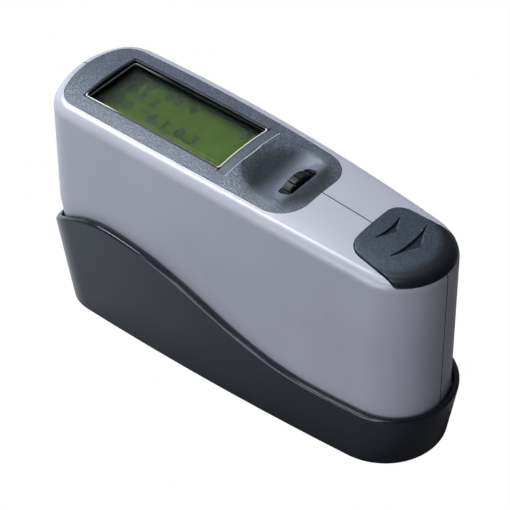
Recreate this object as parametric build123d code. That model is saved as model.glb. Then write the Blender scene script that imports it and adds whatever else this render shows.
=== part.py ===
# Hand-held gloss meter standing in its calibration holder.
# The meter is a slim moulded case, split along its middle, with a dark bezel over the display and
# the scroll wheel, and a battery cover that slides off over the nose. It measures through its underside.
# The holder is a moulded cradle with a wave-shaped rim. Its floor carries a black glass tile.
# Frame: origin on the table under the middle, +X from the display to the battery cover, +Z up, millimetres.
from build123d import *
import os
from math import cos, radians, sin, sqrt, tan

# Meter case
METER_LENGTH = 155.0
BODY_HALF_WIDTH = 22.7
WIDEST_X = -36.0
NOSE_RADIUS = 18.9
REAR_BOW_RADIUS = 40.0
REAR_CORNER_RADIUS = 12.0
TOP_HEIGHT = 86.2
ARCH_TOP_X = -38.0
ARCH_RADIUS = 992.0
CROWN_RADIUS = 89.0
SHOULDER_RADIUS = 4.0
DRAFT_DEG = 0.3
WALL = 2.2
TOP_WALL = 3.0
SEAM_WIDTH = 0.25
SEAM_DEPTH = 0.7

# Holder
HOLDER_WALL = 2.4
HOLDER_GAP = 0.5
RIM_REAR_HEIGHT = 42.2
RIM_FRONT_HEIGHT = 20.2
WAVE_START_X = -48.0
WAVE_END_X = 47.0
WAVE_EASE = 42.0
RIM_ROUND = 1.0
END_LEAN_DEG = 9.7
SIDE_LEAN_DEG = 1.0
FLOOR_HEIGHT = 12.0
FLOOR_THICKNESS = 2.4
SEAT_GAP = 0.3
GUIDE_RIB_HEIGHT = 0.3
GUIDE_RIB_WIDTH = 2.0
HOLDER_COVER_THICKNESS = 2.0
HOLDER_COVER_GAP = 0.4
HOLDER_SCREW_X = 52.0
HOLDER_SCREW_Y = 14.0
WELL_WALL = 1.6

# Calibration tile
TILE_LENGTH = 72.0
TILE_WIDTH = 26.0
TILE_THICKNESS = 4.0
TILE_LEDGE = 3.0
TILE_LEDGE_THICKNESS = 1.0
TILE_GAP = 0.2

# Bezel, with the display opening, the thumb dish and the wheel slot
BEZEL_MARGIN = 4.2
BEZEL_REAR_MARGIN = 3.8
BEZEL_LENGTH = 101.2
BEZEL_FRONT_CORNER = 11.0
BEZEL_THICKNESS = 1.6
BEZEL_GAP = 0.15
LEDGE_WIDTH = 2.0
WINDOW_REAR_SETBACK = 14.0
WINDOW_LENGTH = 58.7
WINDOW_WIDTH = 25.4
WINDOW_CORNER = 1.2
STRIP_WIDTH = 3.6
STRIP_DEPTH = 0.25
DISH_SETBACK = 92.0
DISH_RADIUS = 36.0
DISH_DEPTH = 3.4
RAMP_FRONT_SETBACK = 100.0
RAMP_DEG = 15.5
DISH_SKIN = 1.4
SLOT_SETBACK = 92.5
SLOT_LENGTH = 15.2
SLOT_WIDTH = 5.5
SLOT_CORNER = 1.9

# Display stack
LENS_DEPTH = 1.74
LENS_THICKNESS = 1.2
LENS_MARGIN = 1.2
FRAME_MARGIN = 2.2
FRAME_HEIGHT = 6.0
FRAME_SHEET = 0.5
LCD_THICKNESS = 2.2
BACKLIGHT_THICKNESS = 2.6
BOARD_THICKNESS = 1.6
BOARD_OVERHANG = 4.6
POST_RADIUS = 1.8
POST_Y = 9.0

# Scroll wheel
WHEEL_RADIUS = 9.5
WHEEL_WIDTH = 3.5
WHEEL_PROUD = 1.9
WHEEL_RIDGES = 20
GROOVE_WIDTH = 0.55
GROOVE_DEPTH = 0.6
WHEEL_REAR_GAP = 0.4
AXLE_RADIUS = 1.2
RUNNING_GAP = 0.05
BODY_GAP = 0.3
CARRIER_SHEET = 1.2
CARRIER_TRAVEL = 0.5
CARRIER_HALF_WIDTH = 5.0
EAR_HALF_WIDTH = 3.0
BRACKET_WALL = 1.4
BRACKET_HEIGHT = 8.0

# Wheel switch
SWITCH_SIZE = 6.0
PLUNGER_RADIUS = 1.6

# Battery cover over the nose
COVER_REAR_X = 48.0
COVER_REAR_HALF_WIDTH = 12.7
COVER_FLARE_DEG = 7.0
COVER_CORNER = 6.0
COVER_PROUD = 0.7
COVER_SKIRT_DROP = 8.2
COVER_SKIN = 2.0
COVER_EDGE_GAP = 0.35
TRAY_DEPTH = 9.5
TRAY_SKIN = 1.6
FOOT_START_X = 50.5
FOOT_LENGTH = 6.5
FOOT_DROP = 11.3
FOOT_THICKNESS = 1.2
FOOT_INNER_Y = 8.4
FOOT_REACH = 3.0
WEB_THICKNESS = 1.4
RAIL_START_X = 52.0
RAIL_LENGTH = 11.0
RAIL_THICKNESS = 1.2
ARROW_DEPTH = 0.8
ARROW_SHIFT_Y = 1.5
ARROW_PLACES = ((52.65, 6.5, 0.85, 3.2), (60.7, 9.7, 1.5, 4.6))

# Base, boards, optics and battery
BASE_THICKNESS = 3.0
APERTURE_LENGTH = 52.0
APERTURE_WIDTH = 14.0
OPTICS_LENGTH = 96.0
OPTICS_WIDTH = 18.0
CHANNEL_LENGTH = 84.0
CHANNEL_WIDTH = 12.0
CHANNEL_HEIGHT = 6.0
BORE_RADIUS = 4.2
BEAM_ANGLES_DEG = (20.0, 60.0)
LENS_SHEET = 2.0
LENS_SETBACK = 6.0
SEAT_DEPTH = 8.0
FLANGE = 2.0
LAMP_RADIUS = 2.1
DETECTOR_RADIUS = 2.9
DETECTOR_LENGTH = 4.0
FIT_GAP = 0.05
STANDOFF_X = 30.0
STANDOFF_Y = 5.5
STANDOFF_RADIUS = 2.5
STANDOFF_HEIGHT = 6.7
MAIN_BOARD_DROP = 30.2
MAIN_BOARD_LENGTH = 92.0
MAIN_BOARD_WIDTH = 30.0
BATTERY_RADIUS = 7.1
BATTERY_LENGTH = 49.5
BATTERY_X = 60.0
BATTERY_DROP = 9.6
BATTERY_WALL = 1.0
BATTERY_GAP = 0.3
NUB_RADIUS = 2.7
NUB_HEIGHT = 1.0
CONTACT_HEIGHT = 2.2
CONTACT_SHEET = 0.4
CONTACT_MARGIN = 1.0
SCREW_RADIUS = 1.25
SCREW_HEAD_RADIUS = 2.6
SCREW_HEAD_HEIGHT = 1.6
BOSS_RADIUS = 3.0
BOSS_HEIGHT = 14.0
BASE_SCREW_X = 46.0
SCREW_REACH = 8.0

REAR_X = -METER_LENGTH / 2
NOSE_X = METER_LENGTH / 2
BASE_Z = FLOOR_HEIGHT + SEAT_GAP
BASE_TOP_Z = BASE_Z + BASE_THICKNESS

# How far the cutting bodies reach past what they cut
FAR = 300.0
CLEAR = 10.0
CROWN_REACH = 12.0
POKE = 1.0


def side_radius(half_width, nose_radius, nose_x):
    """Radius of the side arc that meets the nose arc smoothly."""
    run = nose_x - nose_radius - WIDEST_X
    return (run**2 + half_width**2 - nose_radius**2) / (2 * (half_width - nose_radius))


def half_width_at(x):
    """Half width of the case at x."""
    bow = side_radius(BODY_HALF_WIDTH, NOSE_RADIUS, NOSE_X)
    return BODY_HALF_WIDTH - bow + sqrt(bow**2 - (x - WIDEST_X) ** 2)


def facing_up(sketch):
    """The sketch's face with its normal along +Z."""
    face = sketch.face()
    return face if face.normal_at().Z > 0 else -face


def plan(rear_x, nose_x, inset):
    """Plan outline of the case, moved in by inset at the sides: bowed rear, bowed sides, round nose."""
    half_width = BODY_HALF_WIDTH - inset
    nose_radius = NOSE_RADIUS - inset
    bow = side_radius(half_width, nose_radius, nose_x)
    centre_x = nose_x - nose_radius
    share = nose_radius / (bow - nose_radius)
    join = (centre_x + share * (centre_x - WIDEST_X), share * (bow - half_width))
    start_x = rear_x - REAR_CORNER_RADIUS
    start_y = half_width - bow + sqrt(bow**2 - (start_x - WIDEST_X) ** 2)
    flank = ThreePointArc((start_x, start_y), (WIDEST_X, half_width), join)
    nose = ThreePointArc(join, (nose_x, 0), (join[0], -join[1]))
    outline = make_face([flank, nose, mirror(flank, Plane.XZ), Line((start_x, -start_y), (start_x, start_y))])
    bow_centre_x = rear_x + REAR_BOW_RADIUS
    disc = Pos(bow_centre_x, 0) * Circle(REAR_BOW_RADIUS)
    front = Pos(bow_centre_x + FAR / 2, 0) * Rectangle(FAR, 2 * REAR_BOW_RADIUS)
    outline = outline & (disc + front)
    corners = outline.vertices().sort_by(Axis.X)[:2]
    return facing_up(fillet(corners, REAR_CORNER_RADIUS - inset))


def growth(z):
    """How much wider the case is at height z than at its top, from the draft."""
    return (TOP_HEIGHT - z) * tan(radians(DRAFT_DEG))


def case_prism(inset):
    """The drafted walls of the case, from the table to above its top, moved in by inset."""
    high = TOP_HEIGHT + CLEAR
    faces = []
    for z in (0.0, high):
        move = inset - growth(z)
        faces.append(Pos(0, 0, z) * plan(REAR_X + move, NOSE_X - move, move))
    return loft(faces, ruled=True)


def under_top(depth):
    """Everything below the arched and crowned top, lowered by depth."""
    crown = CROWN_RADIUS - depth
    reach = BODY_HALF_WIDTH + CROWN_REACH
    top_z = TOP_HEIGHT - depth
    edge_z = top_z - crown + sqrt(crown**2 - reach**2)
    low_z = -2 * CLEAR
    section = Plane.YZ.offset(ARCH_TOP_X) * make_face(
        [
            ThreePointArc((-reach, edge_z), (0, top_z), (reach, edge_z)),
            Polyline((reach, edge_z), (reach, low_z), (-reach, low_z), (-reach, edge_z)),
        ]
    )
    hinge = Axis((ARCH_TOP_X, 0, TOP_HEIGHT - ARCH_RADIUS), (0, 1, 0))
    sweep_deg = 18
    return revolve(section.rotate(hinge, -sweep_deg / 2), hinge, sweep_deg)


def top_z(x, y=0.0):
    """Height of the top surface."""
    crown_drop = CROWN_RADIUS - sqrt(CROWN_RADIUS**2 - y**2)
    ring = ARCH_RADIUS - crown_drop
    return TOP_HEIGHT - ARCH_RADIUS + sqrt(ring**2 - (x - ARCH_TOP_X) ** 2)


def holder_form(inset):
    """The holder's outer walls, moved in by inset: they lean outwards on their way up."""
    end_slope = tan(radians(END_LEAN_DEG))
    side_slope = tan(radians(SIDE_LEAN_DEG))
    reach = HOLDER_WALL + HOLDER_GAP - inset
    faces = []
    for z in (0.0, TOP_HEIGHT):
        rear = REAR_X - growth(RIM_REAR_HEIGHT) - reach - (z - RIM_REAR_HEIGHT) * end_slope
        nose = NOSE_X + growth(RIM_FRONT_HEIGHT) + reach + (z - RIM_FRONT_HEIGHT) * end_slope
        side = growth(RIM_FRONT_HEIGHT) + reach + (z - RIM_FRONT_HEIGHT) * side_slope
        faces.append(Pos(0, 0, z) * plan(rear, nose, -side))
    return loft(faces, ruled=True)


def slab(low, high):
    """A wide slab between two heights, for trimming."""
    return Pos(0, 0, (low + high) / 2) * Box(2 * FAR, FAR, high - low)


def tall(sketch):
    """A tall prism over a sketch in plan."""
    return extrude(sketch, TOP_HEIGHT + 2 * CLEAR)


def cylinder(x, y, low, high, radius):
    """An upright cylinder between two heights."""
    return Pos(x, y, (low + high) / 2) * Cylinder(radius, high - low)


def block(low, high):
    """A box between two corners."""
    size = [b - a for a, b in zip(low, high)]
    middle = [(a + b) / 2 for a, b in zip(low, high)]
    return Pos(*middle) * Box(*size)


def save(shape, node):
    """Write one sub-part."""
    solids = shape.solids()
    export_step(solids[0] if len(solids) == 1 else Compound(children=solids), f"parts/{node}.step")


os.makedirs("parts", exist_ok=True)

# Forms that the case, the holder and the base share
CASE_IN_HOLDER = HOLDER_WALL + HOLDER_GAP
case_blank = case_prism(0) & under_top(0)
top_edges = case_blank.edges().filter_by(lambda edge: edge.center().Z > TOP_HEIGHT / 2)
case_blank = fillet(top_edges, SHOULDER_RADIUS)
case_outer = case_blank & holder_form(CASE_IN_HOLDER) & slab(BASE_Z, FAR)


def inside_case(inset):
    """The space inside the case walls, moved in by inset, without its top."""
    return case_prism(inset) & holder_form(CASE_IN_HOLDER + inset)


# Holder: a cradle with leaning walls, a wave-shaped rim, a floor and a well for the tile
def under_rim():
    """Everything below the wave of the rim."""
    start = (WAVE_START_X, RIM_REAR_HEIGHT)
    end = (WAVE_END_X, RIM_FRONT_HEIGHT)
    wave = Bezier(start, (start[0] + WAVE_EASE, start[1]), (end[0] - WAVE_EASE, end[1]), end)
    rest = Polyline(end, (FAR, end[1]), (FAR, -POKE), (-FAR, -POKE), (-FAR, start[1]), start)
    return extrude(Plane.XZ * make_face([wave, rest]), FAR / 2, both=True)


def holder_screw_places():
    """Plan places of the four screws under the holder."""
    ends = (-HOLDER_SCREW_X, HOLDER_SCREW_X)
    return [(x, y) for x in ends for y in (-HOLDER_SCREW_Y, HOLDER_SCREW_Y)]


floor_low = FLOOR_HEIGHT - FLOOR_THICKNESS
holder_cover_top = HOLDER_COVER_GAP + HOLDER_COVER_THICKNESS
tile_top = FLOOR_HEIGHT - TILE_LEDGE_THICKNESS
tile_low = tile_top - TILE_THICKNESS
holder = holder_form(0) & under_rim()
holder = holder - (holder_form(HOLDER_WALL) & slab(FLOOR_HEIGHT, FAR))
rim_faces = holder.faces().filter_by(lambda f: f.normal_at().Z > 0.3 and f.center().Z > FLOOR_HEIGHT + POKE)
rim_edges = [edge for face in rim_faces for edge in face.edges()]
rim_edges = [e for e in rim_edges if sum(e.is_same(other) for other in rim_edges) == 1]
holder = fillet(rim_edges, RIM_ROUND)
holder = holder - (holder_form(HOLDER_WALL) & slab(-POKE, floor_low))
rib_zone = (holder_form(HOLDER_WALL / 2) - holder_form(HOLDER_WALL + GUIDE_RIB_HEIGHT)) & slab(
    floor_low, RIM_FRONT_HEIGHT - GUIDE_RIB_WIDTH
)
for rib_x in (-HOLDER_SCREW_X, -HOLDER_SCREW_X / 2, 0.0, HOLDER_SCREW_X / 2, HOLDER_SCREW_X):
    strip = block((rib_x - GUIDE_RIB_WIDTH / 2, -FAR, 0), (rib_x + GUIDE_RIB_WIDTH / 2, FAR, FAR))
    holder = holder + (rib_zone & strip)
well_length = TILE_LENGTH + 2 * TILE_GAP
well_width = TILE_WIDTH + 2 * TILE_GAP
well = Box(well_length + 2 * WELL_WALL, well_width + 2 * WELL_WALL, floor_low - holder_cover_top)
holder = holder + Pos(0, 0, (floor_low + holder_cover_top) / 2) * well
stiffeners = [block((-FAR, -WELL_WALL / 2, holder_cover_top), (FAR, WELL_WALL / 2, floor_low))]
for rib_x in (-TILE_LENGTH / 4, TILE_LENGTH / 4):
    low_x = rib_x - WELL_WALL / 2
    stiffeners.append(block((low_x, -FAR, holder_cover_top), (low_x + WELL_WALL, FAR, floor_low)))
for stiffener in stiffeners:
    holder = holder + (stiffener & holder_form(HOLDER_WALL / 2))
for x, y in holder_screw_places():
    holder = holder + cylinder(x, y, holder_cover_top, floor_low, BOSS_RADIUS)
    holder = holder - cylinder(x, y, holder_cover_top - POKE, floor_low, SCREW_RADIUS + FIT_GAP)
holder = holder - Pos(0, 0, tile_top / 2) * Box(well_length, well_width, tile_top)
window = Box(TILE_LENGTH - 2 * TILE_LEDGE, TILE_WIDTH - 2 * TILE_LEDGE, FLOOR_HEIGHT)
holder = holder - Pos(0, 0, FLOOR_HEIGHT) * window
save(holder, "calibration_holder")

tile = Pos(0, 0, (tile_top + tile_low) / 2) * Box(TILE_LENGTH, TILE_WIDTH, TILE_THICKNESS)
save(chamfer(tile.edges().filter_by(Axis.Z), TILE_GAP), "calibration_tile")
pad_height = tile_low - holder_cover_top
pad = Box(TILE_LENGTH - 2 * WELL_WALL, TILE_WIDTH - 2 * WELL_WALL, pad_height)
save(Pos(0, 0, holder_cover_top + pad_height / 2) * pad, "tile_pad")

holder_cover = holder_form(HOLDER_WALL + BEZEL_GAP) & slab(HOLDER_COVER_GAP, holder_cover_top)
cover_screws = []
for x, y in holder_screw_places():
    head_low = HOLDER_COVER_GAP + FIT_GAP
    head_high = head_low + SCREW_HEAD_HEIGHT
    holder_cover = holder_cover - cylinder(x, y, 0, head_high, SCREW_HEAD_RADIUS + FIT_GAP)
    holder_cover = holder_cover - cylinder(x, y, 0, holder_cover_top, SCREW_RADIUS + FIT_GAP)
    shank = cylinder(x, y, head_low, floor_low - POKE, SCREW_RADIUS)
    cover_screws.append(shank + cylinder(x, y, head_low, head_high, SCREW_HEAD_RADIUS))
save(holder_cover, "holder_cover")
save(Compound(children=cover_screws), "cover_screws")


# Bezel outline and display opening, used by the case and the bezel
def bezel_plan(grow):
    """Outline of the bezel in plan, grown by a clearance."""
    rear = REAR_X + BEZEL_REAR_MARGIN
    front = rear + BEZEL_LENGTH + grow
    outline = Sketch() + plan(rear - grow, NOSE_X - BEZEL_MARGIN + grow, BEZEL_MARGIN - grow)
    outline = outline & Pos(front - FAR / 2, 0) * Rectangle(FAR, FAR)
    corners = outline.vertices().sort_by(Axis.X)[-2:]
    return facing_up(fillet(corners, BEZEL_FRONT_CORNER + grow))


def cover_plan(grow):
    """Outline of the battery cover in plan: round rear corners, sides that flare towards the nose."""
    rear = COVER_REAR_X - grow
    front = NOSE_X + SHOULDER_RADIUS
    rear_y = COVER_REAR_HALF_WIDTH + grow
    front_y = rear_y + (front - rear) * tan(radians(COVER_FLARE_DEG))
    edge = Polyline((rear, -rear_y), (rear, rear_y), (front, front_y), (front, -front_y), close=True)
    outline = make_face(edge)
    corners = outline.vertices().sort_by(Axis.X)[:2]
    return facing_up(fillet(corners, COVER_CORNER + grow))


# Case halves
tray_floor = TRAY_DEPTH - TRAY_SKIN
skirt_low = TOP_HEIGHT - COVER_SKIRT_DROP
foot_low = TOP_HEIGHT - FOOT_DROP
rail_low = foot_low + FOOT_THICKNESS + BODY_GAP
well_radius = BATTERY_RADIUS + BATTERY_GAP


def base_screw_places():
    """Plan places of the four screws that hold the base plate."""
    places = []
    for x in (-BASE_SCREW_X, BASE_SCREW_X):
        y = half_width_at(x) - WALL - BOSS_RADIUS - BEZEL_GAP
        places += [(x, -y), (x, y)]
    return places


# The cavity is the space inside the shell, less what the shell carries: the tray and the bosses
cavity = inside_case(WALL) & under_top(TOP_WALL)
cavity = cavity - (tall(cover_plan(COVER_EDGE_GAP + TRAY_SKIN)) - under_top(TRAY_DEPTH))
boss_high = BASE_TOP_Z + BOSS_HEIGHT
for x, y in base_screw_places():
    boss = cylinder(x, y, BASE_TOP_Z, boss_high, BOSS_RADIUS)
    low_y, high_y = sorted((y, 2 * y))
    boss = boss + block((x - WALL / 2, low_y, BASE_TOP_Z), (x + WALL / 2, high_y, boss_high))
    boss = boss - cylinder(x, y, BASE_TOP_Z - POKE, BASE_TOP_Z + SCREW_REACH + POKE, SCREW_RADIUS + FIT_GAP)
    cavity = cavity - boss
case = case_outer - cavity
case = case - (tall(bezel_plan(BEZEL_GAP)) - under_top(BEZEL_THICKNESS))
case = case - (tall(bezel_plan(-LEDGE_WIDTH)) & slab(TOP_HEIGHT / 2, FAR))

# The pocket under the battery cover leaves the two rails that hold the feet of the cover down
pocket = (tall(cover_plan(COVER_EDGE_GAP)) & case_prism(WALL)) - under_top(tray_floor)
for side in (-1, 1):
    low_y, high_y = sorted((side * (FOOT_INNER_Y + WEB_THICKNESS + BODY_GAP), side * FAR))
    rail_low_corner = (RAIL_START_X, low_y, rail_low)
    pocket = pocket - block(rail_low_corner, (RAIL_START_X + RAIL_LENGTH, high_y, rail_low + RAIL_THICKNESS))
case = case - pocket
case = case - (tall(cover_plan(COVER_EDGE_GAP)) & slab(skirt_low - BODY_GAP, FAR))
seam_core = inside_case(SEAM_DEPTH) & under_top(SEAM_DEPTH)
case = case - (Box(2 * FAR, SEAM_WIDTH, 2 * FAR) - seam_core)
battery_hole = cylinder(BATTERY_X, 0, TOP_HEIGHT / 2, foot_low, well_radius)
left_half = case & block((-FAR, 0, 0), (FAR, FAR, FAR))
right_half = case & block((-FAR, -FAR, 0), (FAR, 0, FAR))
save(left_half - battery_hole, "left_housing")
save(right_half - battery_hole, "right_housing")

# Base plate with the measuring aperture and its screws
base = inside_case(WALL + BEZEL_GAP) & slab(BASE_Z, BASE_TOP_Z)
base = base - Pos(0, 0, BASE_Z) * Box(APERTURE_LENGTH, APERTURE_WIDTH, 4 * BASE_THICKNESS)
base_screws = []
for x, y in base_screw_places():
    head_low = BASE_Z + BEZEL_GAP
    head_high = head_low + SCREW_HEAD_HEIGHT
    base = base - cylinder(x, y, BASE_Z, head_high, SCREW_HEAD_RADIUS + FIT_GAP)
    base = base - cylinder(x, y, BASE_Z, BASE_TOP_Z, SCREW_RADIUS + FIT_GAP)
    shank = cylinder(x, y, head_low, BASE_TOP_Z + SCREW_REACH, SCREW_RADIUS)
    base_screws.append(shank + cylinder(x, y, head_low, head_high, SCREW_HEAD_RADIUS))
save(base, "base_plate")
save(Compound(children=base_screws), "base_screws")

# Battery, standing in a sleeve under the cover, with a contact below it
battery_top = TOP_HEIGHT - BATTERY_DROP
battery_low = battery_top - BATTERY_LENGTH
battery = cylinder(BATTERY_X, 0, battery_low, battery_top, BATTERY_RADIUS)
battery = fillet(battery.edges(), BODY_GAP)
battery = battery + cylinder(BATTERY_X, 0, battery_top - POKE, battery_top + NUB_HEIGHT, NUB_RADIUS)
save(battery, "battery")
sleeve_floor = battery_low - CONTACT_HEIGHT
sleeve = cylinder(BATTERY_X, 0, BASE_TOP_Z, TOP_HEIGHT, well_radius + BATTERY_WALL)
sleeve = sleeve & under_top(TRAY_DEPTH + BEZEL_GAP)
sleeve = sleeve - cylinder(BATTERY_X, 0, sleeve_floor, FAR, well_radius)
sleeve = sleeve - cylinder(BATTERY_X, 0, BASE_TOP_Z - POKE, sleeve_floor - BATTERY_WALL, well_radius)
save(sleeve, "battery_sleeve")
contact = cylinder(BATTERY_X, 0, sleeve_floor, sleeve_floor + CONTACT_SHEET, BATTERY_RADIUS - CONTACT_MARGIN)
save(contact + cylinder(BATTERY_X, 0, sleeve_floor, battery_low, NUB_RADIUS), "battery_contact")

# Optics block in two halves, bored from the measuring point outwards, two beams each way
FOCUS = (0, 0, tile_top)
board_low = TOP_HEIGHT - MAIN_BOARD_DROP
optics_high = board_low - STANDOFF_HEIGHT


def along_beam(angle_deg, start, length, radius):
    """A cylinder on a beam axis, start millimetres from the measuring point."""
    beam = Pos(*FOCUS) * Rot(0, angle_deg, 0)
    return beam * Pos(0, 0, start + length / 2) * Cylinder(radius, length)


def beam_reach(angle_deg):
    """Distance from the measuring point to where a beam leaves the block."""
    to_top = (optics_high - tile_top) / cos(radians(angle_deg))
    to_end = OPTICS_LENGTH / 2 / sin(radians(angle_deg))
    return min(to_top, to_end)


optics = Box(OPTICS_LENGTH, OPTICS_WIDTH, optics_high - BASE_TOP_Z)
optics = Pos(0, 0, (BASE_TOP_Z + optics_high) / 2) * optics
optics = fillet(optics.edges().filter_by(Axis.Z), BORE_RADIUS / 2)
optics = optics - Pos(0, 0, BASE_TOP_Z) * Box(CHANNEL_LENGTH, CHANNEL_WIDTH, 2 * CHANNEL_HEIGHT)
source_lenses, receiver_lenses, sources, detectors = [], [], [], []
for angle in BEAM_ANGLES_DEG:
    reach = beam_reach(angle) - BORE_RADIUS
    seat = reach - SEAT_DEPTH
    fit = BORE_RADIUS - FIT_GAP
    for side, lenses in ((-1, source_lenses), (1, receiver_lenses)):
        optics = optics - along_beam(side * angle, 0, FAR / 2, BORE_RADIUS)
        lenses.append(along_beam(side * angle, seat - LENS_SETBACK, LENS_SHEET, fit))
    flange = along_beam(-angle, reach - FLANGE, FLANGE, fit)
    sources.append(flange + along_beam(-angle, seat, SEAT_DEPTH, LAMP_RADIUS))
    flange = along_beam(angle, reach - FLANGE, FLANGE, fit)
    detectors.append(flange + along_beam(angle, reach - DETECTOR_LENGTH, DETECTOR_LENGTH, DETECTOR_RADIUS))
standoffs = [(x, y) for x in (-STANDOFF_X, STANDOFF_X) for y in (-STANDOFF_Y, STANDOFF_Y)]
for x, y in standoffs:
    optics = optics + cylinder(x, y, optics_high - POKE, board_low, STANDOFF_RADIUS)
save(optics & block((-FAR, 0, 0), (FAR, FAR, FAR)), "optics_left")
save(optics & block((-FAR, -FAR, 0), (FAR, 0, FAR)), "optics_right")
save(Compound(children=source_lenses), "source_lenses")
save(Compound(children=receiver_lenses), "receiver_lenses")
save(Compound(children=sources), "light_sources")
save(Compound(children=detectors), "light_detectors")

# Main board with its screws
board_high = board_low + BOARD_THICKNESS
board = Box(MAIN_BOARD_LENGTH, MAIN_BOARD_WIDTH, BOARD_THICKNESS)
board = Pos(0, 0, board_low + BOARD_THICKNESS / 2) * board
save(fillet(board.edges().filter_by(Axis.Z), BORE_RADIUS / 2), "main_board")
head_top = board_high + SCREW_HEAD_HEIGHT
screws = [cylinder(x, y, board_high, head_top, SCREW_HEAD_RADIUS) for x, y in standoffs]
save(Compound(children=screws), "board_screws")

# Bezel
window_x = REAR_X + WINDOW_REAR_SETBACK + WINDOW_LENGTH / 2
lens_high = top_z(ARCH_TOP_X, WINDOW_WIDTH / 2 + FRAME_MARGIN) - LENS_DEPTH
lens_low = lens_high - LENS_THICKNESS
frame_low = lens_low - FRAME_HEIGHT
dish_x = REAR_X + DISH_SETBACK
ramp_x = REAR_X + RAMP_FRONT_SETBACK
slot_x = REAR_X + SLOT_SETBACK + SLOT_WIDTH / 2
wheel_x = REAR_X + SLOT_SETBACK + WHEEL_REAR_GAP + WHEEL_WIDTH / 2
slot_z = top_z(ramp_x) - (ramp_x - wheel_x) * tan(radians(RAMP_DEG))
wheel_z = slot_z + WHEEL_PROUD - WHEEL_RADIUS
axle_line = Pos(wheel_x, 0, wheel_z) * Rot(0, 90, 0)


def window_plan(grow):
    """The display opening in plan, grown on every side."""
    length = WINDOW_LENGTH + 2 * grow
    width = WINDOW_WIDTH + 2 * grow
    return Pos(window_x, 0) * RectangleRounded(length, width, WINDOW_CORNER + grow)


def above_ramp(drop):
    """Everything above the ramp that climbs from the dish to the front, lowered by drop."""
    ramp = Pos(ramp_x, 0, top_z(ramp_x) - drop) * Rot(0, -RAMP_DEG, 0)
    return ramp * Pos(0, 0, FAR / 2) * Box(FAR, FAR, FAR)


def dish(skin):
    """The thumb dish as a solid, grown downwards by a skin."""
    centre_z = top_z(dish_x) - DISH_DEPTH + DISH_RADIUS
    ball = Pos(dish_x, 0, centre_z) * Rot(90, 0, 0) * Sphere(DISH_RADIUS + skin)
    return ball & above_ramp(skin)


# The space under the sheet is cleared, less the lens frame, the dish skin and the four posts
post_length = WINDOW_LENGTH / 2 + FRAME_MARGIN + POST_RADIUS + BODY_GAP
post_places = [(window_x + a * post_length, b * POST_Y) for a in (-1, 1) for b in (-1, 1)]
space = tall(bezel_plan(BODY_GAP)) & under_top(BEZEL_THICKNESS - FIT_GAP)
space = space - (tall(window_plan(FRAME_MARGIN)) & slab(lens_high, FAR))
space = space - dish(DISH_SKIN)
for x, y in post_places:
    space = space - cylinder(x, y, frame_low, FAR, POST_RADIUS)
bezel = (tall(bezel_plan(0)) & under_top(0)) - dish(0)
bezel = bezel - (tall(window_plan(LENS_MARGIN + BEZEL_GAP)) & slab(0, lens_high))
bezel = bezel - tall(window_plan(0))
strip_x = window_x + WINDOW_LENGTH / 2 + STRIP_WIDTH / 2
strip = Pos(strip_x, 0) * Rectangle(STRIP_WIDTH, WINDOW_WIDTH + 2 * WINDOW_CORNER)
bezel = bezel - (tall(strip) - under_top(STRIP_DEPTH))
bezel = bezel - tall(Pos(slot_x, 0) * RectangleRounded(SLOT_WIDTH, SLOT_LENGTH, SLOT_CORNER))
bezel = bezel - space
save(bezel - axle_line * Cylinder(WHEEL_RADIUS + BODY_GAP, WHEEL_WIDTH + 2 * BODY_GAP), "bezel")

# Display stack
save(tall(window_plan(LENS_MARGIN)) & slab(lens_low, lens_high), "display_window")
glass_high = lens_low - FRAME_SHEET
glass_low = glass_high - LCD_THICKNESS
frame = tall(window_plan(FRAME_MARGIN)) & slab(frame_low, lens_low)
frame = frame - (tall(window_plan(FRAME_MARGIN - FRAME_SHEET)) & slab(0, glass_high))
save(frame - tall(window_plan(FRAME_SHEET)), "lcd_frame")
save(tall(window_plan(FRAME_MARGIN - FRAME_SHEET - FIT_GAP)) & slab(glass_low, glass_high), "lcd_panel")
save(tall(window_plan(FRAME_MARGIN - FRAME_SHEET - FIT_GAP)) & slab(frame_low, glass_low), "backlight")
display_board = Pos(window_x, 0, frame_low - BOARD_THICKNESS / 2) * Box(
    WINDOW_LENGTH + 2 * (FRAME_MARGIN + BOARD_OVERHANG), WINDOW_WIDTH + 2 * FRAME_MARGIN, BOARD_THICKNESS
)
save(fillet(display_board.edges().filter_by(Axis.Z), POST_RADIUS), "display_board")

# Scroll wheel on its axle, in a carrier that clicks down in a bracket
wheel = Pos(wheel_x, 0, wheel_z) * Rot(0, 90, 0) * Cylinder(WHEEL_RADIUS, WHEEL_WIDTH)
wheel = fillet(wheel.edges(), GROOVE_DEPTH)
for i in range(WHEEL_RIDGES):
    groove = Pos(0, 0, WHEEL_RADIUS) * Box(2 * WHEEL_WIDTH, GROOVE_WIDTH, 2 * GROOVE_DEPTH)
    wheel = wheel - Pos(wheel_x, 0, wheel_z) * Rot(i * 360 / WHEEL_RIDGES, 0, 0) * groove
wheel = wheel - axle_line * Cylinder(AXLE_RADIUS + RUNNING_GAP, 2 * WHEEL_WIDTH)
save(wheel, "scroll_wheel")
ear_in = WHEEL_WIDTH / 2 + BODY_GAP
ear_out = ear_in + CARRIER_SHEET
save(axle_line * Cylinder(AXLE_RADIUS, 2 * ear_out), "wheel_axle")
carrier_high = wheel_z - WHEEL_RADIUS - CARRIER_TRAVEL
carrier_low = carrier_high - CARRIER_SHEET
carrier = block(
    (wheel_x - ear_out, -CARRIER_HALF_WIDTH, carrier_low),
    (wheel_x + ear_out, CARRIER_HALF_WIDTH, carrier_high),
)
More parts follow.
